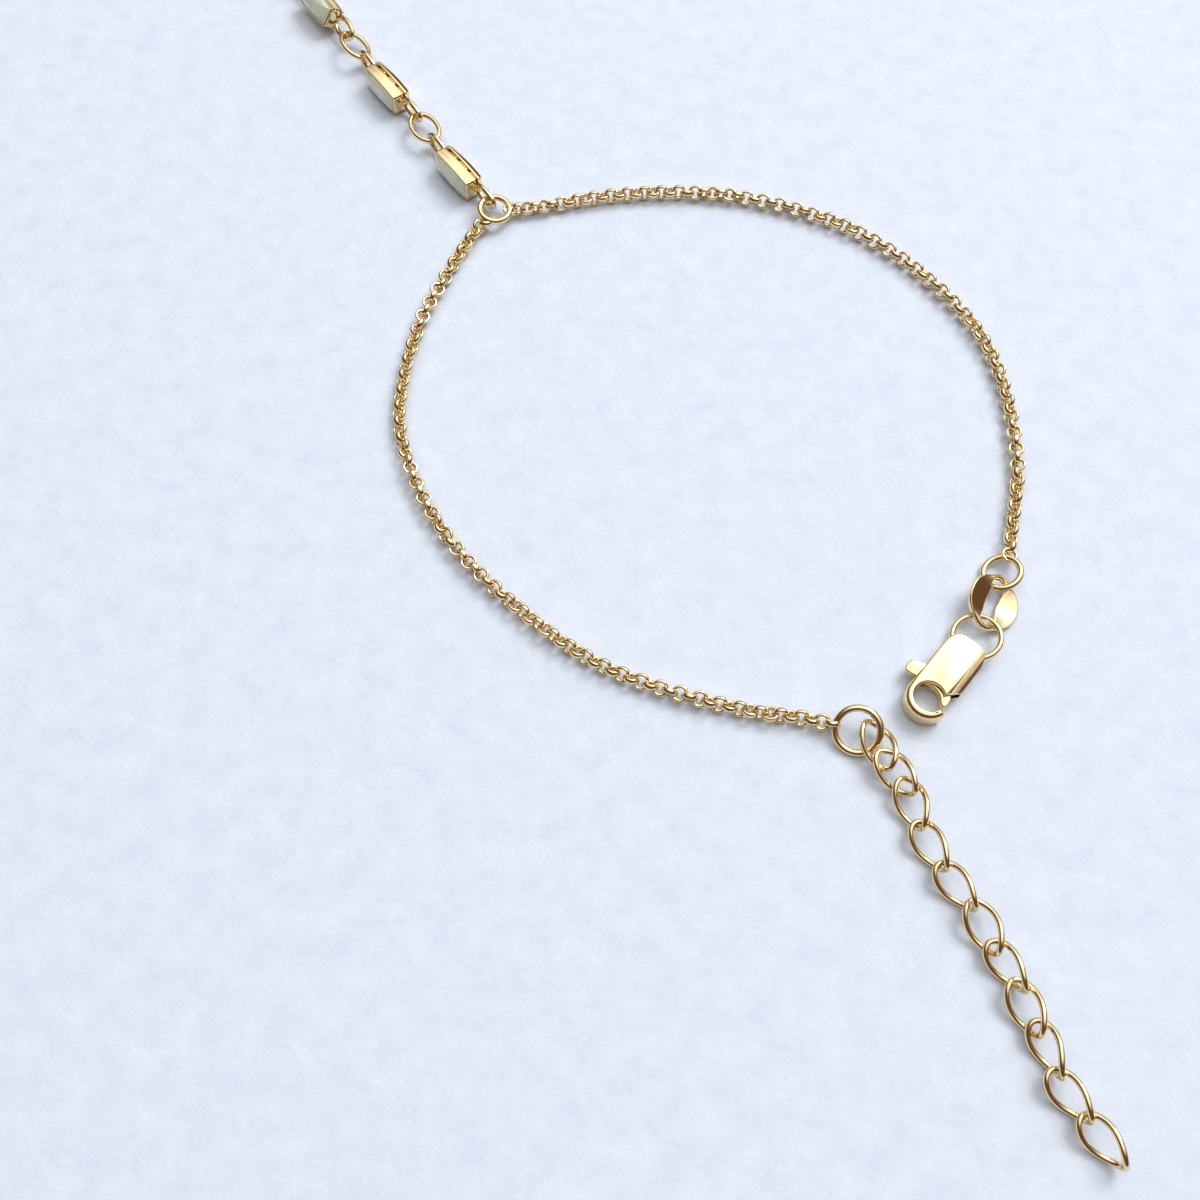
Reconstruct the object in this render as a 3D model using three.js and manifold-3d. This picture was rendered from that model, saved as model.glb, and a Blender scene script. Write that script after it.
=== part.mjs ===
// Hand chain: a fine rolo chain round the wrist with a clasp and an extender, and a strand of opal links that
// runs from the middle of the wrist chain to a finger ring. It lies unclasped on the plane z = 0.
// Millimetres, +Z up. The extender points to -Y and the finger ring lies towards +Y.
import * as THREE from "three";
import { mergeVertices } from "three/addons/utils/BufferGeometryUtils.js";
import Module from "manifold-3d";

// Driving dimensions
const restClearance = 0.03; // height of the lowest metal over the surface
const roloDiameter = 1.4; // outer diameter of a round chain link
const eyeletWire = 0.5;
const ovalWire = 0.46;
const linkWire = 0.46; // extender
const wireSides = 6;
const wireSteps = 16;

const joint = { x: -10.15, y: 40.7 }; // centre of the joining ring
const origin = { x: -17.66, y: 41.355 }; // centre of the laid-out chain's box

const setting = {
  length: 5.4,
  width: 2.45, // across the middle of the long sides
  endWidth: 2.15,
  corner: 0.3,
  railHeight: 0.62,
  grooveHeight: 0.24,
  cupHeight: 1.14,
  wall: 0.2,
  pocketDepth: 0.55,
  coreInset: 0.5, // how deep the groove between rail and cup is
  eyeletReach: 3.05, // how far an eyelet stands out of the end wall
  eyeletHeight: 2.05,
  postDiameter: 0.3,
};
const stoneGap = 0.05;
const domeHeight = 0.42; // how far the stone stands above the rim

const strand = { heading: 124.7, first: 6.05, pitch: 13.55, ovalLength: 4.35, ovalWidth: 3.05 };
// Yaw is a setting's turn away from the strand's line. Lean is how far its stone looks up. The oval is the ring
// that follows the setting, shifted to the left by its side.
const settings = [
  { yaw: 3, lean: 4, oval: { side: 0.04, z: 1.3, turn: -5, roll: 5, rise: 0 } },
  { yaw: 2.5, lean: 3, oval: { side: 0.14, z: 1.39, turn: -4.7, roll: 23.5, rise: 2 } },
  { yaw: 2, lean: 42, oval: { side: 0.14, z: 1.47, turn: -1.7, roll: 26.4, rise: 0.5 } },
  { yaw: 0, lean: 20, oval: { side: 0, z: 1.41, turn: 2.2, roll: 24, rise: 0.5 } },
  { yaw: -2, lean: 28, oval: { side: -0.07, z: 1.42, turn: 4.4, roll: 23.6, rise: -0.5 } },
  { yaw: -1, lean: 16, oval: { side: 0.08, z: 1.17, turn: 5, roll: 22.2, rise: -4 } },
];

const finger = { innerDiameter: 17, wall: 1.3, height: 1.8, eyeletReach: 1.6, eyeletWidth: 1.75, along: 92.9 };

// The wrist chain's route over the surface, from the joining ring to each end
const chainRight = [
  [-8.2, 41.2], [-4.3, 41.9], [-0.6, 42.7], [3.9, 43.3], [8.6, 43.4], [13.0, 43.0], [17.3, 41.9],
  [21.3, 40.4], [25.0, 38.4], [28.6, 35.5], [32.0, 31.7], [34.6, 27.7], [36.1, 23.4], [36.7, 19.3],
  [36.8, 15.5], [36.6, 11.9], [35.8, 8.2], [35.0, 4.9],
];
const chainLeft = [
  [-11.6, 39.2], [-13.4, 35.8], [-15.0, 32.3], [-16.5, 28.6], [-17.4, 24.8], [-17.9, 20.8], [-17.9, 17.0],
  [-16.9, 13.0], [-15.2, 9.1], [-12.8, 5.2], [-9.9, 1.8], [-6.7, -1.2], [-3.3, -4.0], [0.5, -6.4], [4.6, -8.1],
  [8.6, -9.3], [12.8, -10.3], [15.9, -10.7], [18.0, -11.2],
];
const chainSteps = 34;
const chainSides = 8;

// Rings: the outer diameter, the wire, and how far the ring leans towards a heading
const rings = {
  joining_ring: { x: joint.x, y: joint.y + 0.2, z: 1.24, outer: 3.45, wire: 0.6, lean: 6, towards: 333 },
  chain_ring: { x: 33.9, y: 2.1, z: 0.96, outer: 3.65, wire: 0.55, lean: -22, towards: -20 },
  clasp_ring: { x: 31.054, y: -3.794, z: 1.006, outer: 4.4, wire: 0.45, lean: -9, towards: -26.6 },
  extender_ring: { x: 20.55, y: -11.97, z: 1.19, outer: 4.2, wire: 0.6, lean: 28.2, towards: 248.5 },
};

const tag = { x: 32.75, y: -0.68, z: 1.0, heading: 245, roll: -24, length: 5.3, width: 3.5, wire: 0.5 };
const pad = { length: 3.3, width: 1.75, thickness: 0.35, tilt: 14 };

const clasp = {
  x: 30.5, y: -4.45, z: 1.03, heading: 230, // the tail's end
  thickness: 1.9,
  halfWidth: 1.8,
  shoulderX: 4.4, // where the body ends on the gate's side
  edge: 0.22, // bevel round the flat top
  chamfer: 0.6, // wider bevel along the gate's side
  holeX: 6.4,
  holeRadius: 1.3,
  hookReach: 1.9,
  hookSide: 1.88,
  tipAngle: 76,
  slotHeight: 0.85,
  pinX: 4.3,
  pinY: -0.6,
  pinDiameter: 0.6,
  tunnelStart: 0.25,
  tunnelEnd: 1.9,
  tunnelHeight: 1.1,
};
const leverThickness = 0.65;
const leverGap = 0.08;

// Extender links along the free end: the middle of each, its heading, its rise and its roll
const extender = { length: 4.65, width: 2.8, twist: 88 };
const extenderLinks = [
  { x: 22.08, y: -13.15, z: 1.29, heading: -69, rise: 2, roll: 7 },
  { x: 23.27, y: -15.46, z: 1.29, heading: -54, rise: 1, roll: 26 },
  { x: 24.29, y: -17.94, z: 1.25, heading: -74, rise: 2, roll: 31 },
  { x: 25.38, y: -21.30, z: 1.24, heading: -62, rise: 2, roll: 42 },
  { x: 27.01, y: -24.42, z: 1.26, heading: -55, rise: 0, roll: 46 },
  { x: 28.71, y: -27.43, z: 1.29, heading: -69, rise: 0, roll: 27 },
  { x: 30.09, y: -30.34, z: 1.27, heading: -58, rise: 1, roll: 52 },
  { x: 31.12, y: -33.22, z: 1.22, heading: -70, rise: 1, roll: 32 },
  { x: 32.24, y: -36.14, z: 1.31, heading: -70, rise: 1, roll: 57 },
  { x: 33.38, y: -39.29, z: 1.24, heading: -55, rise: 0, roll: 45 },
  { x: 35.27, y: -42.25, z: 1.25, heading: -54, rise: 1, roll: 44 },
];

const gold = { color: 0xd9b063, roughness: 0.18, metalness: 1 };
const opal = { color: 0xc4ccb8, roughness: 0.15, metalness: 0 };

const degrees = THREE.MathUtils.degToRad;
const wasm = await Module();
wasm.setup();

// Joining and cutting
function solidOf(geometry) {
  const bare = geometry.index ? geometry.clone() : geometry;
  const plain = new THREE.BufferGeometry().setAttribute("position", bare.getAttribute("position"));
  if (bare.index) plain.setIndex(bare.index);
  const merged = mergeVertices(plain, 1e-4);
  return new wasm.Manifold(
    new wasm.Mesh({
      numProp: 3,
      vertProperties: merged.getAttribute("position").array,
      triVerts: new Uint32Array(merged.index.array),
    }),
  );
}

function geometryOf(solid) {
  const mesh = solid.getMesh();
  const geometry = new THREE.BufferGeometry();
  geometry.setAttribute("position", new THREE.BufferAttribute(mesh.vertProperties, 3));
  geometry.setIndex(new THREE.BufferAttribute(mesh.triVerts, 1));
  return geometry;
}

function join(...geometries) {
  return geometryOf(geometries.map(solidOf).reduce((whole, piece) => whole.add(piece)));
}

function cut(geometry, ...tools) {
  return geometryOf(tools.map(solidOf).reduce((whole, tool) => whole.subtract(tool), solidOf(geometry)));
}

function box(minimum, maximum) {
  const size = maximum.map((value, axis) => value - minimum[axis]);
  const middle = maximum.map((value, axis) => (value + minimum[axis]) / 2);
  return new THREE.BoxGeometry(...size).translate(...middle);
}

function extrude(shape, bottom, top, curveSegments = 4) {
  const options = { depth: top - bottom, bevelEnabled: false, curveSegments };
  return new THREE.ExtrudeGeometry(shape, options).translate(0, 0, bottom);
}

// Wires
class TwistedOval extends THREE.Curve {
  constructor(length, width, twist = 0) {
    super();
    Object.assign(this, { length, width, twist });
  }

  getPoint(t) {
    const angle = 2 * Math.PI * t;
    const along = Math.cos(angle);
    const across = (this.width / 2) * Math.sin(angle);
    const turn = degrees((this.twist / 2) * along);
    return new THREE.Vector3((this.length / 2) * along, across * Math.cos(turn), across * Math.sin(turn));
  }
}

// A closed wire loop of the given outer length and width, lying in the XY plane along X
function loop(length, width, wire, twist = 0) {
  const curve = new TwistedOval(length - wire, width - wire, twist);
  return new THREE.TubeGeometry(curve, wireSteps, wire / 2, wireSides, true);
}

// Placing
function place(geometry, name, look, { x, y, z, heading = 0, rise = 0, roll = 0 }) {
  const mesh = new THREE.Mesh(geometry, new THREE.MeshStandardMaterial(look));
  mesh.name = name;
  mesh.position.set(x, y, z);
  mesh.rotation.set(degrees(roll), degrees(-rise), degrees(heading), "ZYX");
  return mesh;
}

// A point at a distance from the joining ring along the strand, and aside from its line
function onStrand(distance, side = 0) {
  const angle = degrees(strand.heading);
  return {
    x: joint.x + distance * Math.cos(angle) - side * Math.sin(angle),
    y: joint.y + distance * Math.sin(angle) + side * Math.cos(angle),
  };
}

// Settings and stones
function barrel(inset = 0) {
  const halfLength = setting.length / 2 - inset;
  const halfEnd = setting.endWidth / 2 - inset;
  const bulge = setting.width - 2 * inset - halfEnd; // control height that brings the middle to its width
  const corner = Math.max(setting.corner - inset / 2, 0.1);
  const shape = new THREE.Shape();
  shape.moveTo(-halfLength + corner, -halfEnd);
  shape.quadraticCurveTo(0, -bulge, halfLength - corner, -halfEnd);
  shape.quadraticCurveTo(halfLength, -halfEnd, halfLength, -halfEnd + corner);
  shape.lineTo(halfLength, halfEnd - corner);
  shape.quadraticCurveTo(halfLength, halfEnd, halfLength - corner, halfEnd);
  shape.quadraticCurveTo(0, bulge, -halfLength + corner, halfEnd);
  shape.quadraticCurveTo(-halfLength, halfEnd, -halfLength, halfEnd - corner);
  shape.lineTo(-halfLength, -halfEnd + corner);
  shape.closePath();
  return shape;
}

const cupBottom = setting.railHeight + setting.grooveHeight;
const settingDepth = cupBottom + setting.cupHeight;
const pocketFloor = settingDepth - setting.pocketDepth;
const eyeletPlane = setting.railHeight + setting.grooveHeight / 2;

function settingGeometry() {
  const cup = cut(
    extrude(barrel(), cupBottom, settingDepth),
    extrude(barrel(setting.wall), pocketFloor, settingDepth + 1),
  );
  const rail = extrude(barrel(), 0, setting.railHeight);
  const core = extrude(barrel(setting.coreInset), setting.railHeight / 2, cupBottom + 0.1);
  const pieces = [cup, rail, core];
  const postX = setting.length / 6;
  const postY = setting.width / 2 - 0.6 * setting.coreInset;
  for (const [sideX, sideY] of [[-1, -1], [1, -1], [-1, 1], [1, 1]]) {
    const post = new THREE.CylinderGeometry(
      setting.postDiameter / 2, setting.postDiameter / 2, setting.grooveHeight + 0.2, 8,
    );
    post.rotateX(Math.PI / 2).translate(sideX * postX, sideY * postY, (setting.railHeight + cupBottom) / 2);
    pieces.push(post);
  }
  const rooted = 0.35; // part of the eyelet that is sunk in the end wall
  const length = setting.eyeletReach + rooted;
  const middle = setting.length / 2 + setting.eyeletReach - length / 2;
  for (const side of [-1, 1]) {
    const eyelet = loop(length, setting.eyeletHeight, eyeletWire);
    pieces.push(eyelet.translate(side * middle, 0, eyeletPlane));
  }
  return join(...pieces);
}

function stoneGeometry() {
  const bottom = pocketFloor + stoneGap;
  const girdle = settingDepth - 0.05;
  const height = settingDepth + domeHeight - bottom;
  const outline = barrel(setting.wall + stoneGap);
  const options = { depth: height, steps: 6, bevelEnabled: false, curveSegments: 4 };
  const stone = new THREE.ExtrudeGeometry(outline, options).translate(0, 0, bottom);
  const position = stone.getAttribute("position");
  for (let i = 0; i < position.count; i++) {
    const over = Math.max(0, (position.getZ(i) - girdle) / (bottom + height - girdle));
    const narrowing = Math.sqrt(1 - 0.9 * over * over);
    position.setX(i, position.getX(i) * narrowing);
    position.setY(i, position.getY(i) * narrowing);
  }
  return stone;
}

// A setting stands on its long edge: its width points up and its stone looks sideways and up by the lean.
function strandPlace(number) {
  const { yaw, lean } = settings[number];
  const turn = new THREE.Group();
  const tilt = degrees(lean);
  const lift = (setting.width / 2) * Math.cos(tilt) + eyeletPlane * Math.sin(tilt) + restClearance;
  const { x, y } = onStrand(strand.first + strand.pitch * number);
  turn.position.set(x, y, lift);
  turn.rotation.set(degrees(lean - 90), 0, degrees(strand.heading + yaw), "ZYX");
  return turn;
}

// Finger ring
function fingerRing() {
  const inner = finger.innerDiameter / 2;
  const outer = inner + finger.wall;
  const edge = 0.25;
  const profile = [
    [inner, 0], [outer - edge, 0], [outer, edge], [outer, finger.height - edge],
    [outer - edge, finger.height], [inner, finger.height], [inner, 0],
  ].map(([radius, height]) => new THREE.Vector2(radius, height));
  const band = new THREE.LatheGeometry(profile, 48).rotateX(Math.PI / 2);
  const rooted = 0.4;
  const length = finger.eyeletReach + rooted;
  const eyelet = loop(length, finger.eyeletWidth, eyeletWire)
    .rotateX(Math.PI / 2)
    .translate(outer + finger.eyeletReach - length / 2, 0, finger.height / 2);
  const { x, y } = onStrand(finger.along);
  const back = strand.heading + 180;
  return place(join(band, eyelet), "finger_ring", gold, { x, y, z: 0, heading: back });
}

// Wrist chain
function chainTube(name, route) {
  const height = roloDiameter / 2 + restClearance;
  const curve = new THREE.CatmullRomCurve3(route.map(([x, y]) => new THREE.Vector3(x, y, height)));
  const section = new THREE.Shape();
  section.absarc(0, 0, roloDiameter / 2, 0, 2 * Math.PI);
  const options = { steps: chainSteps, extrudePath: curve, curveSegments: chainSides / 2, bevelEnabled: false };
  const tube = new THREE.ExtrudeGeometry(section, options);
  const mesh = new THREE.Mesh(tube, new THREE.MeshStandardMaterial(gold));
  mesh.name = name;
  return mesh;
}

// Rings
function ring(name, { x, y, z, outer, wire, lean, towards }) {
  const torus = new THREE.TorusGeometry((outer - wire) / 2, wire / 2, wireSides, wireSteps);
  return place(torus, name, gold, { x, y, z, heading: towards, rise: -lean });
}

// Tag link: an oval link whose long sides carry flat leaf-shaped pads
function leaf() {
  const shape = new THREE.Shape();
  shape.moveTo(-pad.length / 2, 0);
  shape.quadraticCurveTo(0, -pad.width, pad.length / 2, 0);
  shape.quadraticCurveTo(0, pad.width, -pad.length / 2, 0);
  return shape;
}

function tagLink() {
  const pads = [-1, 1].map((side) =>
    extrude(leaf(), -pad.thickness / 2, pad.thickness / 2, 5)
      .rotateX(degrees(side * pad.tilt))
      .translate(0, side * (tag.width - tag.wire) / 2, 0),
  );
  return place(join(loop(tag.length, tag.width, tag.wire), ...pads), "tag_link", gold, tag);
}

// Clasp: X runs from the tail to the hook, +Y is the side of the gate
function claspOutline() {
  const { halfWidth, shoulderX, holeX, hookReach, hookSide, tipAngle } = clasp;
  const tip = degrees(tipAngle);
  const holeEnd = degrees(138);
  const shape = new THREE.Shape();
  shape.moveTo(holeX + hookReach * Math.cos(tip), hookSide * Math.sin(tip));
  shape.absellipse(holeX, 0, hookReach, hookSide, tip, -Math.PI / 2, true);
  shape.quadraticCurveTo(holeX - 1, -hookSide, shoulderX, -halfWidth);
  shape.lineTo(2, -halfWidth);
  shape.quadraticCurveTo(0, -halfWidth, 0, -0.5);
  shape.lineTo(0, 0.5);
  shape.quadraticCurveTo(0, halfWidth, 2, halfWidth);
  shape.lineTo(shoulderX, halfWidth);
  shape.lineTo(holeX + clasp.holeRadius * Math.cos(holeEnd), clasp.holeRadius * Math.sin(holeEnd));
  shape.absarc(holeX, 0, clasp.holeRadius, holeEnd, 2 * Math.PI + tip, false);
  shape.closePath();
  return shape;
}

function leverOutline() {
  const { pinX, pinY, holeX } = clasp;
  const shape = new THREE.Shape();
  shape.moveTo(pinX - 0.75, pinY - 0.3);
  shape.lineTo(pinX - 0.6, pinY + 0.45);
  shape.lineTo(pinX + 0.6, 1.35);
  shape.lineTo(holeX - 0.35, 1.55);
  shape.lineTo(holeX - 0.2, 1.15);
  shape.lineTo(pinX + 1.1, 0.5);
  shape.lineTo(pinX + 0.9, pinY - 0.4);
  shape.lineTo(pinX + 1.15, -2.5);
  shape.lineTo(pinX + 1, -2.9);
  shape.lineTo(pinX + 0.25, -2.95);
  shape.lineTo(pinX - 0.05, -2.6);
  shape.closePath();
  return shape;
}

// The slot for the lever, open towards the hole, the nib and the gate
function slotOutline() {
  const { shoulderX, holeX, halfWidth } = clasp;
  const start = 3.25;
  const corners = [
    [start, -4], [holeX - 0.65, -4], [holeX - 0.65, 0], [holeX, 0], [holeX, 4],
    [shoulderX, 4], [shoulderX, halfWidth], [start, 0.3],
  ];
  return new THREE.Shape(corners.map(([x, y]) => new THREE.Vector2(x, y)));
}

function claspBody() {
  const { thickness, halfWidth, shoulderX, edge, chamfer, slotHeight, pinX, pinY, pinDiameter } = clasp;
  const options = {
    depth: thickness - 2 * edge, bevelThickness: edge, bevelSize: edge, bevelOffset: -edge, bevelSegments: 1,
    curveSegments: 10,
  };
  const blank = new THREE.ExtrudeGeometry(claspOutline(), options).translate(0, 0, edge - thickness / 2);
  const slot = extrude(slotOutline(), -slotHeight / 2, slotHeight / 2);
  const tunnel = box(
    [clasp.tunnelStart, -4, -clasp.tunnelHeight / 2],
    [clasp.tunnelEnd, 4, clasp.tunnelHeight / 2],
  );
  const side = chamfer * Math.SQRT2;
  const chamfers = [-1, 1].map((up) =>
    new THREE.BoxGeometry(shoulderX + 1, side, side)
      .rotateX(Math.PI / 4)
      .translate((shoulderX + 1) / 2, halfWidth, (up * thickness) / 2),
  );
  const pin = new THREE.CylinderGeometry(pinDiameter / 2, pinDiameter / 2, thickness - 2 * edge, 12);
  pin.rotateX(Math.PI / 2).translate(pinX, pinY, 0);
  return place(join(cut(blank, slot, tunnel, ...chamfers), pin), "clasp_body", gold, clasp);
}

function claspLever() {
  const eye = clasp.pinDiameter / 2 + leverGap;
  const arm = extrude(leverOutline(), -leverThickness / 2, leverThickness / 2);
  const hole = new THREE.CylinderGeometry(eye, eye, 2 * leverThickness, 12).rotateX(Math.PI / 2);
  return place(cut(arm, hole.translate(clasp.pinX, clasp.pinY, 0)), "clasp_lever", gold, clasp);
}

// The whole chain, moved so that the middle of its box is the origin
const group = new THREE.Group();
const layout = new THREE.Group();
layout.position.set(-origin.x, -origin.y, 0);
group.add(layout);

const settingShape = settingGeometry().translate(0, 0, -eyeletPlane);
const stoneShape = stoneGeometry().translate(0, 0, -eyeletPlane);
settings.forEach((link, number) => {
  const turn = strandPlace(number);
  const here = { x: 0, y: 0, z: 0 };
  turn.add(place(settingShape, "setting_" + (number + 1), gold, here));
  turn.add(place(stoneShape, "stone_" + (number + 1), opal, here));
  const { side, turn: yaw, ...tilts } = link.oval;
  const between = onStrand(strand.first + strand.pitch * (number + 0.5), side);
  const oval = loop(strand.ovalLength, strand.ovalWidth, ovalWire);
  const spot = { ...between, ...tilts, heading: strand.heading + yaw };
  layout.add(turn, place(oval, "strand_oval_" + (number + 1), gold, spot));
});
layout.add(fingerRing(), chainTube("wrist_chain_right", chainRight), chainTube("wrist_chain_left", chainLeft));
for (const [name, size] of Object.entries(rings)) layout.add(ring(name, size));
layout.add(tagLink(), claspBody(), claspLever());
extenderLinks.forEach((spot, number) => {
  const link = loop(extender.length, extender.width, linkWire, extender.twist);
  layout.add(place(link, "extender_link_" + (number + 1), gold, spot));
});

export default group;
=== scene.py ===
import math
import random

import bmesh
import bpy
import numpy as np
from mathutils import Euler, Matrix, Vector


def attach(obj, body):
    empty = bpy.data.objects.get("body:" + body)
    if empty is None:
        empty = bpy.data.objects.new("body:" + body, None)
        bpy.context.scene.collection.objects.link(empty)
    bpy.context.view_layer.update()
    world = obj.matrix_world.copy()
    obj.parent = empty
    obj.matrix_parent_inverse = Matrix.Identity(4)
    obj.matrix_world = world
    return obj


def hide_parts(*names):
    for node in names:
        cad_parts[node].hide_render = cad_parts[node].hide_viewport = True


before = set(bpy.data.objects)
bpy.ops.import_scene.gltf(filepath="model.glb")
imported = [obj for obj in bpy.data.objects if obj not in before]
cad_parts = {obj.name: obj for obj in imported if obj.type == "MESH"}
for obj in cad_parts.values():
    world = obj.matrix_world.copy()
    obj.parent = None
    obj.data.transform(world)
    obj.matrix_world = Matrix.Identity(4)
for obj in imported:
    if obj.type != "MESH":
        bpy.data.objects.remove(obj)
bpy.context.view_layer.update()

# All shapes are worked out in millimetres in their own frame, then placed on the surface z = 0 in metres.
MM = 0.001
ORIGIN = (-17.66, 41.355)  # middle of the laid-out chain's box, in the layout's millimetres
REST_CLEARANCE = 0.03  # height of the lowest metal over the surface
SEAM_GUIDE = (0.31, 0.17, 0.93)  # a direction that no wire starts along, which sets where its section starts


# Placing
def placed(x, y, z, heading=0.0, rise=0.0, roll=0.0):
    """A place in the layout: heading turns from +X to +Y, rise lifts the front end, roll turns about it."""
    turn = Euler((math.radians(roll), math.radians(-rise), math.radians(heading)), "XYZ").to_matrix().to_4x4()
    return Matrix.Translation((x - ORIGIN[0], y - ORIGIN[1], z)) @ turn


class Shells:
    """Closed shells of one piece, in millimetres."""

    def __init__(self):
        self.points = []
        self.faces = []

    def add(self, points, faces):
        first = len(self.points)
        self.points.extend(tuple(map(float, p)) for p in points)
        self.faces.extend(tuple(first + i for i in face) for face in faces)
        return self

    def loft(self, rings, closed=False, caps=True):
        """rings are closed loops with the same number of points."""
        count, around = len(rings), len(rings[0])
        faces = []
        for i in range(count if closed else count - 1):
            a, b = i * around, ((i + 1) % count) * around
            for j in range(around):
                k = (j + 1) % around
                faces.append((a + j, a + k, b + k, b + j))
        if caps and not closed:
            faces.append(tuple(range(around - 1, -1, -1)))
            faces.append(tuple((count - 1) * around + j for j in range(around)))
        return self.add([p for ring in rings for p in ring], faces)

    def moved(self, matrix):
        self.points = [tuple(matrix @ Vector(p)) for p in self.points]
        return self


def mesh_of(name, shells, matrix=None, smooth=38):
    """A mesh in metres. Edges that turn by more than the smooth angle, in degrees, stay sharp."""
    mesh = bpy.data.meshes.new(name)
    points = shells.points
    if matrix is not None:
        points = [tuple(matrix @ Vector(p)) for p in points]
    mesh.from_pydata([tuple(c * MM for c in p) for p in points], [], shells.faces)
    work = bmesh.new()
    work.from_mesh(mesh)
    bmesh.ops.recalc_face_normals(work, faces=work.faces)
    work.to_mesh(mesh)
    work.free()
    mesh.shade_smooth()
    mesh.set_sharp_from_angle(angle=math.radians(smooth))
    return mesh


def show(node, mesh, material, body="chain"):
    """Adds the mesh to the scene as the dressed form of one node of the assembly."""
    piece = bpy.data.objects.new(node + "_shape", mesh)
    bpy.context.scene.collection.objects.link(piece)
    mesh.materials.clear()
    mesh.materials.append(material)
    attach(piece, body)
    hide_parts(node)
    return piece


# Wires
def swept(centres, radius, sides=16):
    """Rings of a round wire along a closed centreline."""
    centres = np.asarray(centres, float)
    count = len(centres)
    tangents = np.roll(centres, -1, 0) - np.roll(centres, 1, 0)
    tangents /= np.linalg.norm(tangents, axis=1)[:, None]
    normal = np.cross(tangents[0], SEAM_GUIDE)
    normals = [normal / np.linalg.norm(normal)]
    for i in range(1, count + 1):
        n = normals[-1] - tangents[i % count] * (normals[-1] @ tangents[i % count])
        normals.append(n / np.linalg.norm(n))
    first, last = normals[0], normals.pop()
    side = np.cross(tangents[0], first)
    slip = math.atan2(last @ side, last @ first)
    rings = []
    for i in range(count):
        n, b = normals[i], np.cross(tangents[i], normals[i])
        angles = np.arange(sides) * 2 * math.pi / sides - slip * i / count
        rings.append(centres[i] + radius * (np.cos(angles)[:, None] * n + np.sin(angles)[:, None] * b))
    return rings


def oval_line(length, width, twist=0.0, steps=72):
    """An oval centreline along X. Its ends are turned against each other by the twist, in degrees."""
    line = []
    for i in range(steps):
        angle = 2 * math.pi * i / steps
        along, across = math.cos(angle), width / 2 * math.sin(angle)
        turn = math.radians(twist / 2 * along)
        line.append((length / 2 * along, across * math.cos(turn), across * math.sin(turn)))
    return line


def wire_loop(length, width, wire, twist=0.0, steps=72, sides=16, shift=(0, 0, 0)):
    """A closed loop of round wire, given by its outer length and width."""
    line = [np.add(p, shift) for p in oval_line(length - wire, width - wire, twist, steps)]
    return Shells().loft(swept(line, wire / 2, sides), closed=True)


# Outlines in the plane
def bend(start, middle, end, steps):
    """A quadratic curve's points, without its last one."""
    return [
        tuple((1 - t) ** 2 * a + 2 * t * (1 - t) * b + t * t * c for a, b, c in zip(start, middle, end))
        for t in (i / steps for i in range(steps))
    ]


def arc(centre, reach, start, end, steps):
    """Points on an ellipse from one angle to another, in degrees, without the last one."""
    return [
        (centre[0] + reach[0] * math.cos(a), centre[1] + reach[1] * math.sin(a))
        for a in (math.radians(start + (end - start) * i / steps) for i in range(steps))
    ]


def inset(outline, distances):
    """The outline moved inwards, each corner by its own distance. The outline runs anticlockwise."""
    moved = []
    count = len(outline)
    for i, distance in enumerate(distances):
        before, here, after = (Vector(outline[(i + k) % count]) for k in (-1, 0, 1))
        one, two = (here - before).normalized(), (after - here).normalized()
        inward = Vector((-one.y - two.y, one.x + two.x)).normalized()
        stretch = 1 / max(0.5, inward.dot(Vector((-one.y, one.x))))
        moved.append(tuple(here + inward * distance * stretch))
    return moved


def softened(outline, rounds=2):
    """Corners cut off again and again until the outline is smooth."""
    for _ in range(rounds):
        cut = []
        for i, here in enumerate(outline):
            after = outline[(i + 1) % len(outline)]
            cut += [tuple(a * 0.75 + b * 0.25 for a, b in zip(here, after)),
                    tuple(a * 0.25 + b * 0.75 for a, b in zip(here, after))]
        outline = cut
    return outline


def plate(outline, bottom, top, edge, rounds=5):
    """A plate with rounded edges. edge is one radius, or a list with one for each corner."""
    edges = edge if isinstance(edge, list) else [edge] * len(outline)
    quarter = [math.pi / 2 * i / rounds for i in range(rounds + 1)]
    rings = []
    for level, way, angles in ((bottom, 1, quarter), (top, -1, quarter[::-1])):
        for a in angles:
            ring = inset(outline, [e * (1 - math.sin(a)) for e in edges])
            rings.append([(x, y, level + way * e * (1 - math.cos(a))) for (x, y), e in zip(ring, edges)])
    return Shells().loft(rings)


def carved(mesh, tools):
    """The mesh with the tools' shells taken away."""
    scene = bpy.context.scene.collection
    body = bpy.data.objects.new("carved", mesh)
    scene.objects.link(body)
    cutters = []
    for tool in tools:
        cutter = bpy.data.objects.new("cutter", tool)
        scene.objects.link(cutter)
        modifier = body.modifiers.new("cut", "BOOLEAN")
        modifier.operation, modifier.solver, modifier.object = "DIFFERENCE", "EXACT", cutter
        cutters.append(cutter)
    bpy.context.view_layer.update()
    made = bpy.data.meshes.new_from_object(body.evaluated_get(bpy.context.evaluated_depsgraph_get()))
    for thing in [body, *cutters]:
        bpy.data.objects.remove(thing)
    return made


def block(low, high):
    (a, b, c), (d, e, f) = low, high
    ring = [(a, b), (d, b), (d, e), (a, e)]
    return Shells().loft([[(x, y, z) for x, y in ring] for z in (c, f)])


def round_bar(radius, bottom, top, at=(0, 0), sides=24):
    ring = [(at[0] + x, at[1] + y) for x, y in arc((0, 0), (radius, radius), 0, 360, sides)]
    return Shells().loft([[(x, y, z) for x, y in ring] for z in (bottom, top)])


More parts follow.
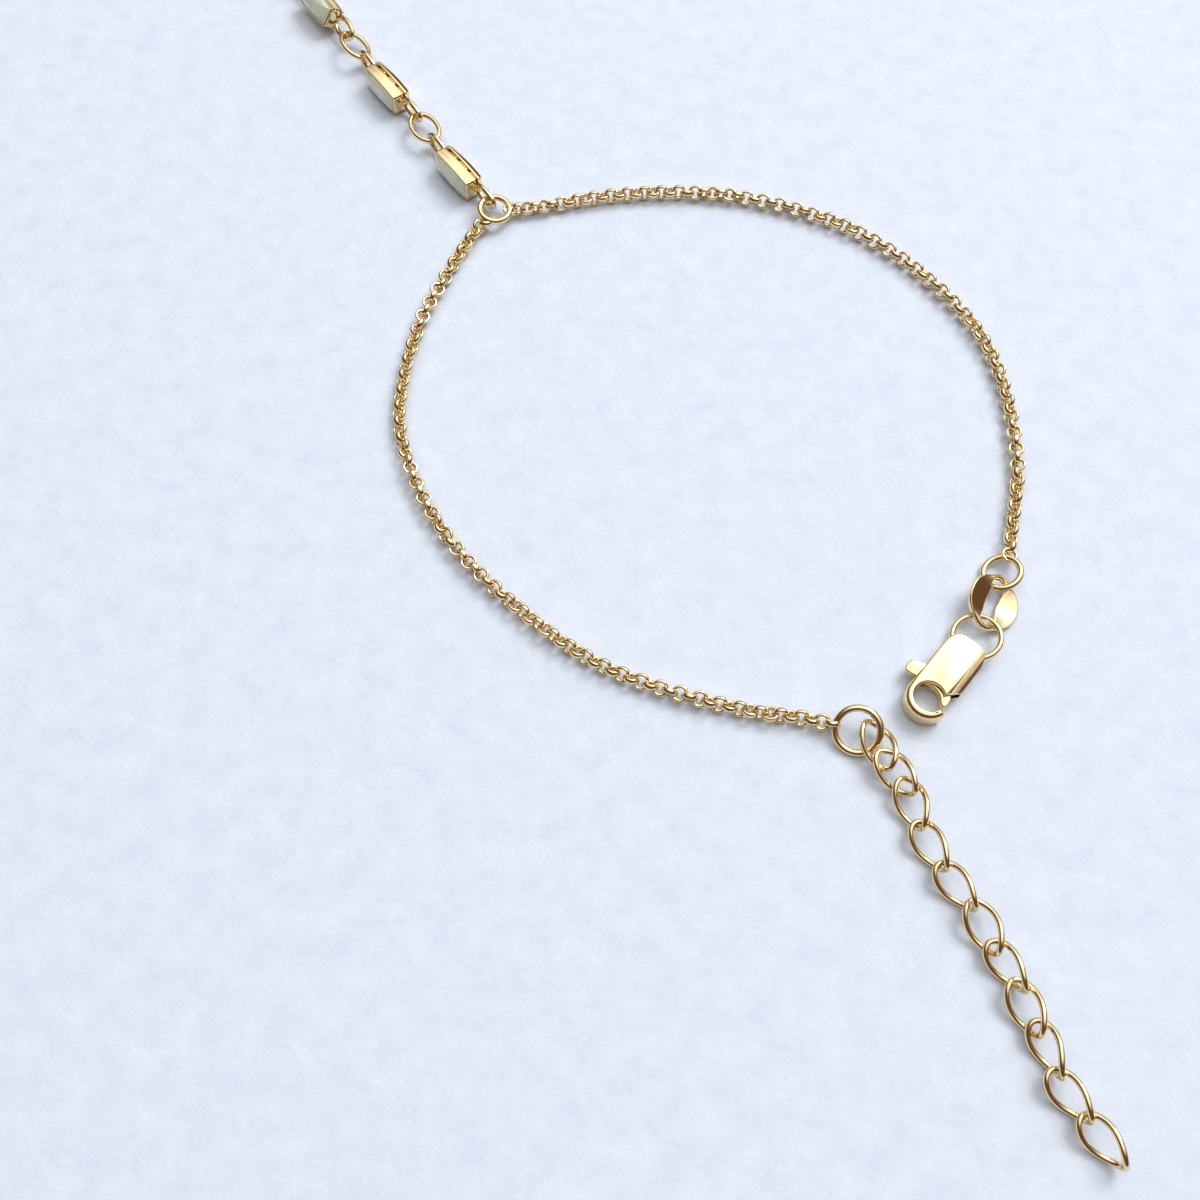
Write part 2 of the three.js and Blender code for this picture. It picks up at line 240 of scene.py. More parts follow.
# Materials: ramp stops are a place on the noise and a colour there
GOLD_TONES = ((0.3, (0.83, 0.66, 0.36)), (0.7, (0.91, 0.74, 0.44)))
OPAL_CLOUDS = (
    (0.25, (0.50, 0.57, 0.40)), (0.45, (0.64, 0.72, 0.53)),
    (0.6, (0.74, 0.79, 0.63)), (0.8, (0.82, 0.80, 0.71)),
)
OPAL_FLECKS = (
    (0.35, (0.58, 0.78, 0.60)), (0.5, (0.70, 0.74, 0.62)),
    (0.62, (0.80, 0.69, 0.64)), (0.72, (0.64, 0.75, 0.75)),
)
PAPER_TONES = ((0.32, (0.635, 0.71, 0.84)), (0.68, (0.71, 0.78, 0.895)))


def nodes_of(name):
    material = bpy.data.materials.new(name)
    material.use_nodes = True
    tree = material.node_tree
    return material, tree, tree.nodes["Principled BSDF"]


def noise(tree, scale, detail=3.0, roughness=0.55):
    """A noise texture whose scale is in marks per metre."""
    place = tree.nodes.new("ShaderNodeTexCoord")
    texture = tree.nodes.new("ShaderNodeTexNoise")
    texture.inputs["Scale"].default_value = scale
    texture.inputs["Detail"].default_value = detail
    texture.inputs["Roughness"].default_value = roughness
    tree.links.new(place.outputs["Object"], texture.inputs["Vector"])
    return texture.outputs["Fac"]


def ramp(tree, source, stops):
    node = tree.nodes.new("ShaderNodeValToRGB")
    while len(node.color_ramp.elements) < len(stops):
        node.color_ramp.elements.new(0.5)
    for element, (position, colour) in zip(node.color_ramp.elements, stops):
        element.position, element.color = position, (*colour, 1)
    tree.links.new(source, node.inputs["Fac"])
    return node.outputs["Color"]


def spread(tree, source, low, high):
    """The middle of a noise's range stretched from low to high."""
    node = tree.nodes.new("ShaderNodeMapRange")
    node.inputs["From Min"].default_value, node.inputs["From Max"].default_value = 0.3, 0.7
    node.inputs["To Min"].default_value, node.inputs["To Max"].default_value = low, high
    tree.links.new(source, node.inputs["Value"])
    return node.outputs["Result"]


def bump(tree, source, strength, distance):
    node = tree.nodes.new("ShaderNodeBump")
    node.inputs["Strength"].default_value = strength
    node.inputs["Distance"].default_value = distance
    tree.links.new(source, node.inputs["Height"])
    return node.outputs["Normal"]


def gold(name, low=0.05, high=0.13, waviness=0.12):
    """Polished gold with the faint unevenness of hand polishing and fine wear marks."""
    material, tree, shader = nodes_of(name)
    shader.inputs["Metallic"].default_value = 1.0
    tone = noise(tree, scale=900, detail=2)
    wear = noise(tree, scale=2600, detail=5, roughness=0.65)
    waves = noise(tree, scale=1500, detail=2)
    tree.links.new(ramp(tree, tone, GOLD_TONES), shader.inputs["Base Color"])
    tree.links.new(spread(tree, wear, low, high), shader.inputs["Roughness"])
    tree.links.new(bump(tree, waves, waviness, distance=0.00004), shader.inputs["Normal"])
    return material


def opal_look():
    """Milky stone, pale grey-green with soft clouds and faint flecks of colour."""
    material, tree, shader = nodes_of("opal")
    clouds = ramp(tree, noise(tree, scale=700, detail=3), OPAL_CLOUDS)
    flecks = ramp(tree, noise(tree, scale=2300, detail=1), OPAL_FLECKS)
    mix = tree.nodes.new("ShaderNodeMix")
    mix.data_type = "RGBA"
    mix.inputs["Factor"].default_value = 0.3
    tree.links.new(clouds, mix.inputs["A"])
    tree.links.new(flecks, mix.inputs["B"])
    tree.links.new(mix.outputs["Result"], shader.inputs["Base Color"])
    shader.inputs["Roughness"].default_value = 0.1
    shader.inputs["IOR"].default_value = 1.45
    shader.inputs["Subsurface Weight"].default_value = 0.35
    shader.inputs["Subsurface Radius"].default_value = (0.5, 0.6, 0.5)
    shader.inputs["Subsurface Scale"].default_value = 0.0008
    shader.inputs["Coat Weight"].default_value = 0.6
    shader.inputs["Coat Roughness"].default_value = 0.04
    return material


def paper_look():
    """Bluish white paper with a soft mottle and a fine grain."""
    material, tree, shader = nodes_of("paper")
    mottle = noise(tree, scale=420, detail=5, roughness=0.62)
    grain = noise(tree, scale=1100, detail=6, roughness=0.7)
    tree.links.new(ramp(tree, mottle, PAPER_TONES), shader.inputs["Base Color"])
    shader.inputs["Roughness"].default_value = 0.8
    shader.inputs["Specular IOR Level"].default_value = 0.25
    tree.links.new(bump(tree, grain, strength=0.5, distance=0.00014), shader.inputs["Normal"])
    return material


GOLD = gold("gold")
WIRE_GOLD = gold("wire_gold", low=0.07, high=0.16, waviness=0.06)
PLATE_GOLD = gold("plate_gold", low=0.12, high=0.2, waviness=0.3)
OPAL = opal_look()

# Rings and ovals
JOINT = (-10.15, 40.7)  # where the stone strand starts
RINGS = {  # place, height, outer diameter, wire, lean, heading it leans towards
    "joining_ring": (JOINT[0], JOINT[1] + 0.2, 1.24, 3.45, 0.6, 6, 333),
    "chain_ring": (33.9, 2.1, 0.96, 3.65, 0.57, -22, -20),
    "clasp_ring": (31.054, -3.794, 1.006, 4.4, 0.47, -9, -26.6),
    "extender_ring": (20.55, -11.97, 1.19, 4.2, 0.6, 28.2, 248.5),
}
for node, (x, y, z, outer, wire, lean, towards) in RINGS.items():
    shells = wire_loop(outer, outer, wire, steps=80, sides=20)
    show(node, mesh_of(node, shells, placed(x, y, z, towards, -lean)), GOLD)

STRAND = {"heading": 124.7, "first": 6.05, "pitch": 13.55, "oval_length": 4.35, "oval_width": 3.05}
OVAL_WIRE = 0.49
# Yaw and lean of each setting, then the side, height, turn, roll and rise of the oval after it
SETTINGS = [
    (3, 4, (0.04, 1.3, -5, 5, 0)),
    (2.5, 3, (0.14, 1.39, -4.7, 23.5, 2)),
    (2, 42, (0.14, 1.47, -1.7, 26.4, 0.5)),
    (0, 20, (0, 1.41, 2.2, 24, 0.5)),
    (-2, 28, (-0.07, 1.42, 4.4, 23.6, -0.5)),
    (-1, 16, (0.08, 1.17, 5, 22.2, -4)),
]


def on_strand(distance, side=0.0):
    a = math.radians(STRAND["heading"])
    return (JOINT[0] + distance * math.cos(a) - side * math.sin(a),
            JOINT[1] + distance * math.sin(a) + side * math.cos(a))


# Settings and stones: barrel outlines stacked from the rail at the back to the rim round the stone
LENGTH, WIDTH, END_WIDTH, CORNER = 5.4, 2.45, 2.15, 0.3
RAIL, GROOVE, CUP = 0.62, 0.24, 1.14  # heights
CUP_BOTTOM = RAIL + GROOVE
TOP = CUP_BOTTOM + CUP
POCKET = TOP - 0.55  # floor under the stone
WALL, CORE = 0.2, 0.5  # the bezel's thickness, and how deep the groove goes in
POST_RADIUS, POST_SINK = 0.15, 0.05  # the sink is how far a post enters the rail and the cup
EYELET_PLANE = RAIL + GROOVE / 2
EYELET_REACH, EYELET_HEIGHT, EYELET_WIRE = 3.05, 2.05, 0.53
EYELET_ROOT = 0.35  # part of the eyelet that is sunk in the end wall
GIRDLE = TOP - 0.07  # where the stone's dome starts
STONE_GAP = 0.008
DOME = 0.42  # how far the stone stands above the rim
DOME_RINGS, DOME_TURN = 14, 88  # the dome's rings of points, and the angle in degrees at its last one
SETTING_SHARP, STONE_SHARP = 22, 50


def barrel(back=0.0):
    """The setting's outline, moved back by the given distance on all sides."""
    half, end = LENGTH / 2 - back, END_WIDTH / 2 - back
    bulge = WIDTH - 2 * back - end
    corner = max(CORNER - back / 2, 0.1)
    return (
        bend((-half + corner, -end), (0, -bulge), (half - corner, -end), 22)
        + bend((half - corner, -end), (half, -end), (half, -end + corner), 5)
        + bend((half, -end + corner), (half, 0), (half, end - corner), 4)
        + bend((half, end - corner), (half, end), (half - corner, end), 5)
        + bend((half - corner, end), (0, bulge), (-half + corner, end), 22)
        + bend((-half + corner, end), (-half, end), (-half, end - corner), 5)
        + bend((-half, end - corner), (-half, 0), (-half, -end + corner), 4)
        + bend((-half, -end + corner), (-half, -end), (-half + corner, -end), 5)
    )


def layer(back, height):
    return [(x, y, height) for x, y in barrel(back)]


def setting_shells():
    """Rail, sunken groove and bezel cup in one turn round the outline, then the posts and the eyelets."""
    profile = [  # distance back from the outline, height
        (0.34, 0), (0.27, 0.012), (0.235, 0.035), (0.01, 0.42), (0, 0.46), (0, RAIL - 0.07),
        (0.015, RAIL - 0.025), (0.06, RAIL), (CORE - 0.04, RAIL + 0.02), (CORE, RAIL + 0.06),
        (CORE, CUP_BOTTOM - 0.06), (CORE - 0.04, CUP_BOTTOM - 0.02), (0.07, CUP_BOTTOM),
        (0.02, CUP_BOTTOM + 0.02),
        (0.004, CUP_BOTTOM + 0.06), (0, CUP_BOTTOM + 0.2), (0, CUP_BOTTOM + 0.38), (0.014, CUP_BOTTOM + 0.5),
        (0.014, CUP_BOTTOM + 0.54), (0, CUP_BOTTOM + 0.66), (0.004, CUP_BOTTOM + 0.78), (0.012, TOP - 0.12),
        (0.03, TOP - 0.05), (0.07, TOP - 0.01), (0.12, TOP), (0.17, TOP - 0.015), (0.2, TOP - 0.06),
        (WALL, POCKET),
    ]
    shells = Shells().loft([layer(back, height) for back, height in profile])
    for side_x in (-1, 1):
        for side_y in (-1, 1):
            at = (side_x * LENGTH / 6, side_y * (WIDTH / 2 - 0.6 * CORE))
            post = round_bar(POST_RADIUS, RAIL - POST_SINK, CUP_BOTTOM + POST_SINK, at, 16)
            shells.add(post.points, post.faces)
    length = EYELET_REACH + EYELET_ROOT
    middle = LENGTH / 2 + EYELET_REACH - length / 2
    for side in (-1, 1):
        place = (side * middle, 0, EYELET_PLANE)
        eyelet = wire_loop(length, EYELET_HEIGHT, EYELET_WIRE, steps=64, shift=place)
        shells.add(eyelet.points, eyelet.faces)
    return shells.moved(Matrix.Translation((0, 0, -EYELET_PLANE)))


def stone_shells():
    """A cabochon with the setting's outline, from the pocket's floor to its dome."""
    outline = barrel(WALL + STONE_GAP)
    rings = [[(x, y, z) for x, y in outline] for z in (POCKET + 0.02, GIRDLE - 0.02)]
    for i in range(DOME_RINGS + 1):
        a = math.radians(i * DOME_TURN / DOME_RINGS)
        narrow, height = math.cos(a), GIRDLE + (TOP + DOME - GIRDLE) * math.sin(a)
        rings.append([(x * narrow, y * narrow, height) for x, y in outline])
    return Shells().loft(rings).moved(Matrix.Translation((0, 0, -EYELET_PLANE)))


for number, (yaw, lean, (side, height, turn, roll, rise)) in enumerate(SETTINGS):
    distance = STRAND["first"] + STRAND["pitch"] * number
    tilt = math.radians(lean)
    lift = WIDTH / 2 * math.cos(tilt) + EYELET_PLANE * math.sin(tilt) + REST_CLEARANCE
    here = placed(*on_strand(distance), lift, STRAND["heading"] + yaw, 0, lean - 90)
    name = str(number + 1)
    show("setting_" + name, mesh_of("setting_" + name, setting_shells(), here, SETTING_SHARP), GOLD)
    show("stone_" + name, mesh_of("stone_" + name, stone_shells(), here, STONE_SHARP), OPAL)
    between = on_strand(distance + STRAND["pitch"] / 2, side)
    oval = wire_loop(STRAND["oval_length"], STRAND["oval_width"], OVAL_WIRE, steps=80, sides=18)
    spot = placed(*between, height, STRAND["heading"] + turn, rise, roll)
    show("strand_oval_" + name, mesh_of("strand_oval_" + name, oval, spot), GOLD)

# Finger ring
FINGER = {"inner": 8.5, "wall": 1.3, "height": 1.8, "inner_edge": 0.12, "outer_edge": 0.3, "steps": 180,
          "reach": 1.6, "width": 1.75, "root": 0.4, "along": 92.9}


def finger_shells():
    """A plain band with rounded edges and a soldered eyelet."""
    inner, outer, height = FINGER["inner"], FINGER["inner"] + FINGER["wall"], FINGER["height"]
    soft, edge = FINGER["inner_edge"], FINGER["outer_edge"]
    corners = (  # centre of the rounding, start angle in degrees, radius
        (inner + soft, soft, 180, soft), (outer - edge, edge, 270, edge),
        (outer - edge, height - edge, 0, edge), (inner + soft, height - soft, 90, soft),
    )
    profile = []
    for x, z, start, radius in corners:
        profile += [(x + radius * math.cos(math.radians(start + 18 * i)),
                     z + radius * math.sin(math.radians(start + 18 * i))) for i in range(6)]
    rings = []
    for i in range(FINGER["steps"]):
        a = 2 * math.pi * i / FINGER["steps"]
        rings.append([(x * math.cos(a), x * math.sin(a), z) for x, z in profile])
    shells = Shells().loft(rings, closed=True)
    length = FINGER["reach"] + FINGER["root"]
    eyelet = wire_loop(length, FINGER["width"], EYELET_WIRE, steps=64)
    spot = Matrix.Translation((outer + FINGER["reach"] - length / 2, 0, height / 2))
    eyelet.moved(spot @ Matrix.Rotation(math.pi / 2, 4, "X"))
    return shells.add(eyelet.points, eyelet.faces)


spot = placed(*on_strand(FINGER["along"]), 0, STRAND["heading"] + 180)
show("finger_ring", mesh_of("finger_ring", finger_shells(), spot), GOLD)

# Wrist chain: round links along the route, from the joining ring to the end
CHAIN_RIGHT = [
    (-8.2, 41.2), (-4.3, 41.9), (-0.6, 42.7), (3.9, 43.3), (8.6, 43.4), (13.0, 43.0), (17.3, 41.9),
    (21.3, 40.4), (25.0, 38.4), (28.6, 35.5), (32.0, 31.7), (34.6, 27.7), (36.1, 23.4), (36.7, 19.3),
    (36.8, 15.5), (36.6, 11.9), (35.8, 8.2), (35.0, 4.9),
]
CHAIN_LEFT = [
    (-11.6, 39.2), (-13.4, 35.8), (-15.0, 32.3), (-16.5, 28.6), (-17.4, 24.8), (-17.9, 20.8), (-17.9, 17.0),
    (-16.9, 13.0), (-15.2, 9.1), (-12.8, 5.2), (-9.9, 1.8), (-6.7, -1.2), (-3.3, -4.0), (0.5, -6.4),
    (4.6, -8.1), (8.6, -9.3), (12.8, -10.3), (15.9, -10.7), (18.0, -11.2),
]
ROLO = {"outer": 1.46, "thick": 0.29, "wide": 0.46, "pitch": 0.83, "squareness": 0.8, "around": 28,
        "sides": 12}
ROLO_SHARP = 60
WAVE_COUNT, WAVE_LENGTH, WAVE_TURN = 4, (8, 30), (8, 16)  # slow turns of the chain about its own line
LINK_YAW, LINK_RISE, LINK_ROLL = 4, 5, 7  # how far one link strays from the run, in degrees
LEAD = 2.5  # length over which the chain climbs to the ring at its end
LOOK_AHEAD = 0.4  # distance along the route that gives a link its heading


def rolo_link():
    """A round link of flattened wire, in the plane of its ring."""
    middle = (ROLO["outer"] - ROLO["thick"]) / 2
    rings = []
    for i in range(ROLO["around"]):
        a = 2 * math.pi * i / ROLO["around"]
        ring = []
        for k in range(ROLO["sides"]):
            b = 2 * math.pi * k / ROLO["sides"]
            across, up = (math.copysign(abs(c) ** ROLO["squareness"], c) for c in (math.cos(b), math.sin(b)))
            reach = middle + ROLO["thick"] / 2 * across
            ring.append((reach * math.cos(a), reach * math.sin(a), ROLO["wide"] / 2 * up))
        rings.append(ring)
    return Shells().loft(rings, closed=True)


def smooth_route(points, per_span=24):
    """A curve through the points, sampled closely."""
    points = [np.array(point) for point in points]
    points = [points[0] * 2 - points[1], *points, points[-1] * 2 - points[-2]]
    line = []
    for a, b, c, d in zip(points, points[1:], points[2:], points[3:]):
        for i in range(per_span):
            t = i / per_span
            line.append(0.5 * (2 * b + (c - a) * t + (2 * a - 5 * b + 4 * c - d) * t * t
                               + (3 * b - a - 3 * c + d) * t ** 3))
    line.append(points[-2])
    return np.array(line)


def rolo_shells(route, start, end, seed):
    """start and end are where the first and last links sit: place and height."""
    chance = random.Random(seed)
    line = smooth_route([start[:2], *route, end[:2]])
    steps = np.linalg.norm(np.diff(line, axis=0), axis=1)
    far = np.concatenate([[0], np.cumsum(steps)])
    whole = far[-1]

    def point_at(distance):
        return [np.interp(min(max(distance, 0), whole), far, line[:, axis]) for axis in (0, 1)]

    count = int(round(whole / ROLO["pitch"])) + 1
    waves = [(chance.uniform(*WAVE_LENGTH), chance.uniform(0, 6.28), chance.uniform(*WAVE_TURN))
             for _ in range(WAVE_COUNT)]
    shells = Shells()
    for i in range(count):
        s = whole * i / (count - 1)
        x, y = point_at(s)
        (x0, y0), (x1, y1) = point_at(s - LOOK_AHEAD), point_at(s + LOOK_AHEAD)
        heading = math.degrees(math.atan2(y1 - y0, x1 - x0)) + chance.uniform(-LINK_YAW, LINK_YAW)
        roll = 45 + sum(size * math.sin(s / length * 6.28 + phase) for length, phase, size in waves)
        roll += chance.uniform(-LINK_ROLL, LINK_ROLL) + (90 if i % 2 else 0)
        tilt = math.radians(roll)
        flat, upright = sorted((abs(math.sin(tilt)), abs(math.cos(tilt))))
        height = ROLO["outer"] / 2 * upright + ROLO["wide"] / 2 * flat + REST_CLEARANCE
        near, last = max(0.0, 1 - s / LEAD), max(0.0, 1 - (whole - s) / LEAD)
        height += near * (start[2] - height) + last * (end[2] - height)
        link = rolo_link()
        link.moved(placed(x, y, height, heading, chance.uniform(-LINK_RISE, LINK_RISE), roll))
        shells.add(link.points, link.faces)
    return shells


CHAINS = (  # node, route, first and last link, seed
    ("wrist_chain_right", CHAIN_RIGHT, (-8.7, 41.15, 0.95), (34.75, 3.75, 0.95), 5),
    ("wrist_chain_left", CHAIN_LEFT, (-11.05, 39.45, 0.9), (18.6, -11.3, 0.95), 11),
)
for node, route, start, end, seed in CHAINS:
    show(node, mesh_of(node, rolo_shells(route, start, end, seed), None, ROLO_SHARP), WIRE_GOLD)

# Tag link: an oval wire whose long sides flatten into leaf-shaped pads
TAG = {"length": 5.3, "width": 3.5, "wire": 0.5, "pad_length": 4.1, "pad_width": 1.85, "pad": 0.35,
       "tilt": 14, "squareness": 0.85, "steps": 120, "sides": 28}
TAG_SPOT = placed(32.75, -0.68, 1.0, 245, 0, -24)
TAG_SHARP = 32


def tag_shells():
    half_x, half_y = (TAG["length"] - TAG["wire"]) / 2, (TAG["width"] - TAG["wire"]) / 2
    wire = TAG["wire"] / 2
    rings = []
    for i in range(TAG["steps"]):
        angle = 2 * math.pi * i / TAG["steps"]
        centre = np.array((half_x * math.cos(angle), half_y * math.sin(angle), 0))
        tangent = np.array((-half_x * math.sin(angle), half_y * math.cos(angle), 0))
        tangent /= np.linalg.norm(tangent)
        outward = np.array((tangent[1], -tangent[0], 0))
        share = max(0.0, 1 - (abs(centre[0]) / (TAG["pad_length"] / 2)) ** 2)  # 0 is wire, 1 is mid-pad
        broad = wire + share * (TAG["pad_width"] / 2 - wire)
        thick = wire + share * (TAG["pad"] / 2 - wire)
        tilt = math.radians(TAG["tilt"]) * share
        flat = outward * math.cos(tilt) + np.array((0, 0, math.sin(tilt)))
        up = np.cross(tangent, flat)
        up *= -1 if up[2] < 0 else 1
        power = 1 - TAG["squareness"] * min(1.0, 2 * share)  # from a round section to one with flat faces
        ring = []
        for k in range(TAG["sides"]):
            a = 2 * math.pi * k / TAG["sides"]
            across, over = (math.copysign(abs(c) ** power, c) for c in (math.cos(a), math.sin(a)))
            ring.append(centre + flat * broad * across + up * thick * over)
        rings.append(ring)
    return Shells().loft(rings, closed=True)


show("tag_link", mesh_of("tag_link", tag_shells(), TAG_SPOT, TAG_SHARP), GOLD)

# Clasp: X runs from the tail to the hook, +Y is the side of the gate
CLASP_SPOT = placed(30.5, -4.45, 1.03, 230)
CLASP = {"thickness": 1.9, "half": 1.8, "shoulder": 4.4, "edge": 0.22, "hook_edge": 0.42, "hole_edge": 0.1,
         "hole_x": 6.4, "hole": 1.3, "hole_start": 138, "reach": 1.9, "side": 1.88, "tip": 76,
         "slot_start": 3.25, "slot": 0.85, "tunnel": (0.25, 1.9), "tunnel_height": 1.1,
         "pin": (4.3, -0.6), "pin_radius": 0.3, "pin_sink": 0.1}
BEVEL = [(1.0, 0), (0.6, 0.1), (0.25, 0.24), (0, 0.39)]  # in from the gate's side, down from the top
LEVER = {"thickness": 0.65, "edge": 0.14, "eye": 0.38}
BEYOND = 4  # how far a cutting tool runs past the metal
CLASP_SHARP = 30


def in_clasp(mesh):
    """Moves a finished mesh, in metres, from the clasp's frame to its place."""
    mesh.transform(Matrix.Scale(MM, 4) @ CLASP_SPOT @ Matrix.Scale(1 / MM, 4))
    mesh.shade_smooth()
    mesh.set_sharp_from_angle(angle=math.radians(CLASP_SHARP))
    return mesh


def clasp_outline():
    """The tail at X = 0, the body, the hook's tip and the hole's inside, in one line."""
    hole_x, half, shoulder, start = (CLASP[key] for key in ("hole_x", "half", "shoulder", "hole_start"))
    inner = [(hole_x + CLASP["hole"] * math.cos(a), CLASP["hole"] * math.sin(a))
             for a in (math.radians(start + (360 + CLASP["tip"] - start) * i / 56) for i in range(57))]
    loop = arc((hole_x, 0), (CLASP["reach"], CLASP["side"]), CLASP["tip"], -90, 40)
    loop += bend((hole_x, -CLASP["side"]), (hole_x - 1, -CLASP["side"]), (shoulder, -half), 12)
    loop += bend((shoulder, -half), (3, -half), (2, -half), 8)
    loop += bend((2, -half), (0, -half), (0, -0.5), 14)
    loop += bend((0, -0.5), (0, 0), (0, 0.5), 6)
    loop += bend((0, 0.5), (0, half), (2, half), 14)
    loop += bend((2, half), (3, half), (shoulder, half), 8)
    loop += bend((shoulder, half), ((shoulder + inner[0][0]) / 2, (half + inner[0][1]) / 2), inner[0], 4)
    loop += inner
    return loop[::-1]


def clasp_edge(x, y):
    """The rounding of the edge at a point: small round the hole, wide round the outside of the hook."""
    if math.hypot(x - CLASP["hole_x"], y) < CLASP["hole"] + 0.02:
        return CLASP["hole_edge"]
    share = min(max((x - CLASP["shoulder"]) / (CLASP["hole_x"] - CLASP["shoulder"]), 0), 1)
    return CLASP["edge"] + share * (CLASP["hook_edge"] - CLASP["edge"])


def along(corners, start, end):
    """A bar along X whose section's corners are given in Y and Z."""
    return Shells().loft([[(x, y, z) for y, z in corners] for x in (start, end)])


def clasp_body():
    half, hole_x, shoulder, start = (CLASP[key] for key in ("half", "hole_x", "shoulder", "slot_start"))
    top = CLASP["thickness"] / 2
    outline = clasp_outline()
    edges = [clasp_edge(x, y) for x, y in outline]
    blank = mesh_of("clasp_body", plate(outline, -top, top, edges, 6), None, 24)
    corners = [(start, -BEYOND), (hole_x - 0.65, -BEYOND), (hole_x - 0.65, 0), (hole_x, 0), (hole_x, BEYOND),
               (shoulder, BEYOND), (shoulder, half), (start, 0.3)]
    slot = Shells().loft([[(x, y, z) for x, y in corners] for z in (-CLASP["slot"] / 2, CLASP["slot"] / 2)])
    (near, far), high = CLASP["tunnel"], CLASP["tunnel_height"] / 2
    tunnel = block((near, -BEYOND, -high), (far, BEYOND, high))
    tools = [mesh_of("slot", slot), mesh_of("tunnel", tunnel)]
    slope = [(half - back, top - down) for back, down in BEVEL]
    bevel = slope + [(half + 1, slope[-1][1]), (half + 1, top + 1), (slope[0][0], top + 1)]
    for up in (-1, 1):
        tools.append(mesh_of("bevel", along([(y, up * z) for y, z in bevel], -0.5, shoulder + 0.9)))
    made = carved(blank, tools)
    sunk = top - CLASP["pin_sink"]
    pin = mesh_of("pin", round_bar(CLASP["pin_radius"], -sunk, sunk, CLASP["pin"], 32))
    work = bmesh.new()
    work.from_mesh(made)
    work.from_mesh(pin)
    work.to_mesh(made)
    work.free()
    return in_clasp(made)


def clasp_lever():
    """The gate across the hook's opening, the eye round the pin and the thumb nib on the other side."""
    (x, y), hole_x = CLASP["pin"], CLASP["hole_x"]
    outline = softened([
        (x - 0.78, y - 0.3), (x - 0.1, -2.6), (x + 0.15, -3.05), (x + 1.1, -3.0), (x + 1.2, -2.5),
        (x + 0.9, y - 0.4), (x + 1.05, 0.5), (hole_x - 0.16, 1.1), (hole_x - 0.3, 1.62), (x + 0.6, 1.4),
        (x - 0.62, y + 0.5),
    ])
    top = LEVER["thickness"] / 2
    blank = mesh_of("clasp_lever", plate(outline, -top, top, LEVER["edge"], 4), None, 30)
    return in_clasp(carved(blank, [mesh_of("hole", round_bar(LEVER["eye"], -1, 1, CLASP["pin"], 32))]))


show("clasp_body", clasp_body(), PLATE_GOLD)
show("clasp_lever", clasp_lever(), GOLD, "clasp_lever")

# Extender: twisted oval links, the last one a free end
LINK = {"length": 4.65, "width": 2.8, "wire": 0.48, "twist": 88}
EXTENDER = [  # x, y, z, heading, rise, roll
    (22.08, -13.15, 1.29, -69, 2, 7), (23.27, -15.46, 1.29, -54, 1, 26), (24.29, -17.94, 1.25, -74, 2, 31),
    (25.38, -21.30, 1.24, -62, 2, 42), (27.01, -24.42, 1.26, -55, 0, 46), (28.71, -27.43, 1.29, -69, 0, 27),
    (30.09, -30.34, 1.27, -58, 1, 52), (31.12, -33.22, 1.22, -70, 1, 32), (32.24, -36.14, 1.31, -70, 1, 57),
    (33.38, -39.29, 1.24, -55, 0, 45), (35.27, -42.25, 1.25, -54, 1, 44),
]
for number, spot in enumerate(EXTENDER):
    node = "extender_link_" + str(number + 1)
    link = wire_loop(LINK["length"], LINK["width"], LINK["wire"], LINK["twist"], steps=96, sides=18)
    show(node, mesh_of(node, link, placed(*spot)), GOLD)

# Floor, light and camera, in metres
AIM = Vector((-ORIGIN[0] * MM, -ORIGIN[1] * MM, 0))  # the surface point at the picture's middle
FLOOR_HALF, FLOOR_DROP = 1, 0.00001
SKY_AXIS = (0.2, 0.38, 0.9)  # where the sky is brightest
SKY = [  # cosine of the angle from the axis, colour
    (0.0, (0.13, 0.07, 0.04)), (0.5, (0.14, 0.08, 0.045)), (0.63, (0.26, 0.2, 0.16)),
    (0.75, (0.85, 0.84, 0.84)), (0.87, (1.42, 1.42, 1.43)), (0.97, (1.6, 1.6, 1.62)),
]
CAMERA_TILT = math.radians(24.5)  # away from looking straight down
CAMERA_REACH = 109.7 * MM
LENS, SENSOR = 39.0, 36.0

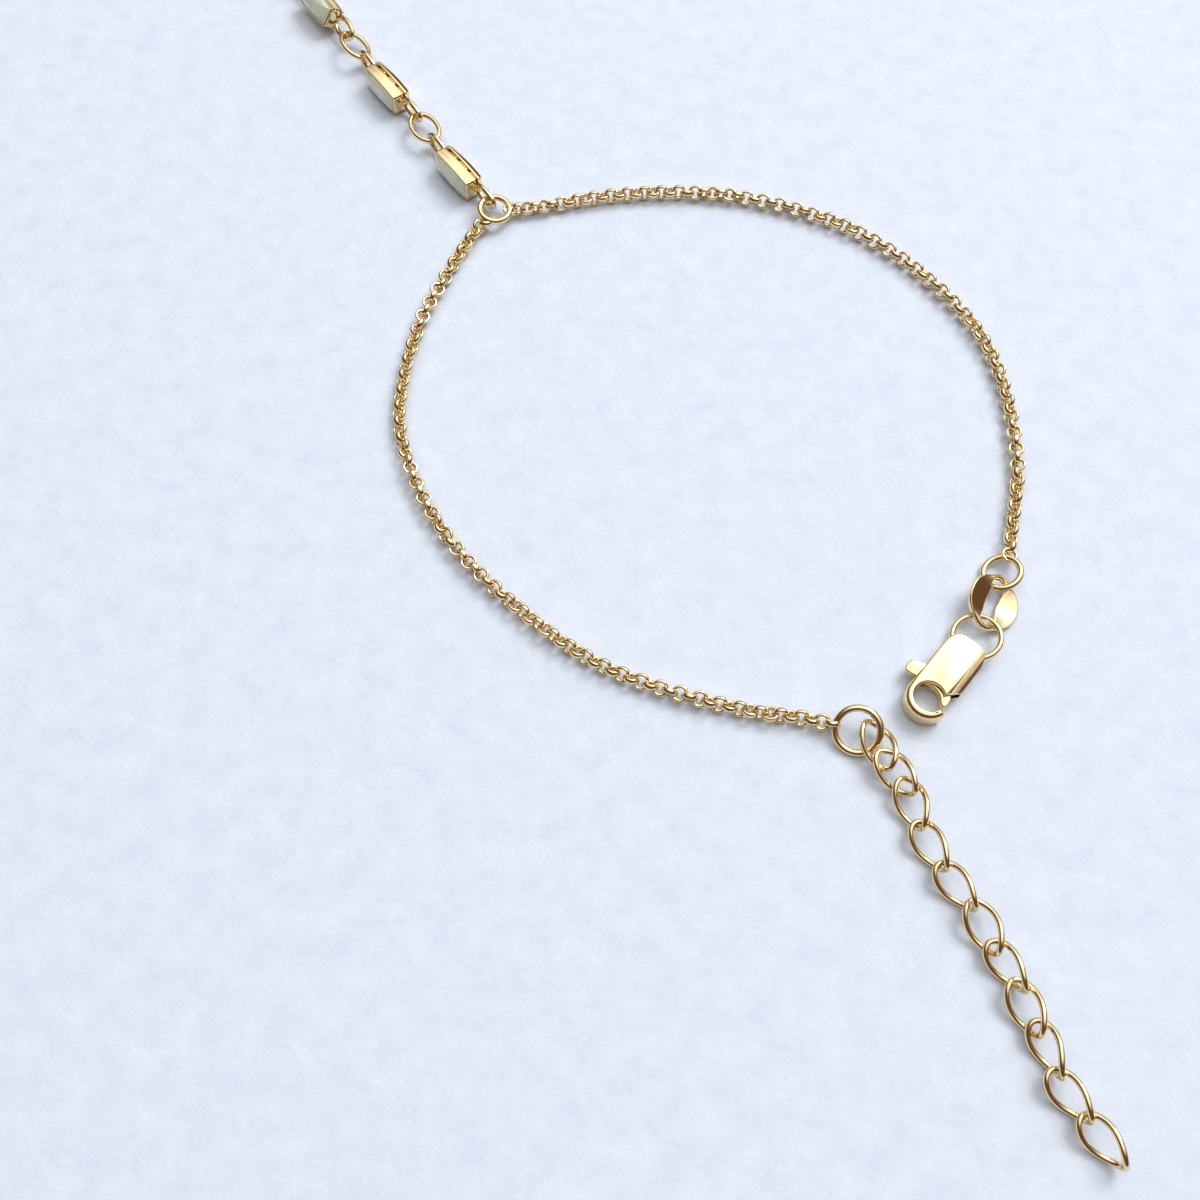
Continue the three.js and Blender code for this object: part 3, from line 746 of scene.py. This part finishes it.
floor_mesh = bpy.data.meshes.new("floor")
corners = ((-1, -1), (1, -1), (1, 1), (-1, 1))
floor_mesh.from_pydata([(x * FLOOR_HALF, y * FLOOR_HALF, -FLOOR_DROP) for x, y in corners], [], [(0, 1, 2, 3)])
floor = bpy.data.objects.new("floor", floor_mesh)
bpy.context.scene.collection.objects.link(floor)
floor_mesh.materials.append(paper_look())


def area_light(name, offset, size, power, colour):
    """A round light at an offset from the picture's middle, which it faces."""
    light = bpy.data.lights.new(name, "AREA")
    light.shape, light.size, light.energy, light.color = "DISK", size, power, colour
    thing = bpy.data.objects.new(name, light)
    thing.location = AIM + Vector(offset)
    thing.rotation_euler = (-Vector(offset)).to_track_quat("-Z", "Y").to_euler()
    bpy.context.scene.collection.objects.link(thing)
    return thing


area_light("key", (0.4, 0.38, 0.62), 0.42, 3.6, (1.0, 0.985, 0.96))
fill = area_light("fill", (-0.35, -0.1, 0.8), 1.2, 1.3, (0.97, 0.98, 1.0))
fill.visible_glossy = False  # it softens the shadows without a mirror image in the gold

world = bpy.data.worlds.new("studio")
bpy.context.scene.world = world
world.use_nodes = True
sky = world.node_tree
direction = sky.nodes.new("ShaderNodeTexCoord")
nearness = sky.nodes.new("ShaderNodeVectorMath")
nearness.operation = "DOT_PRODUCT"
nearness.inputs[1].default_value = Vector(SKY_AXIS).normalized()
sky.links.new(direction.outputs["Generated"], nearness.inputs[0])
sky.links.new(ramp(sky, nearness.outputs["Value"], SKY), sky.nodes["Background"].inputs["Color"])

camera_data = bpy.data.cameras.new("camera")
camera_data.lens, camera_data.sensor_width = LENS, SENSOR
camera_data.clip_start, camera_data.clip_end = 0.005, 10
camera = bpy.data.objects.new("camera", camera_data)
camera.location = AIM + CAMERA_REACH * Vector((0, -math.sin(CAMERA_TILT), math.cos(CAMERA_TILT)))
camera.rotation_euler = (CAMERA_TILT, 0, 0)
bpy.context.scene.collection.objects.link(camera)
bpy.context.scene.camera = camera
bpy.context.scene.view_settings.view_transform = "Standard"
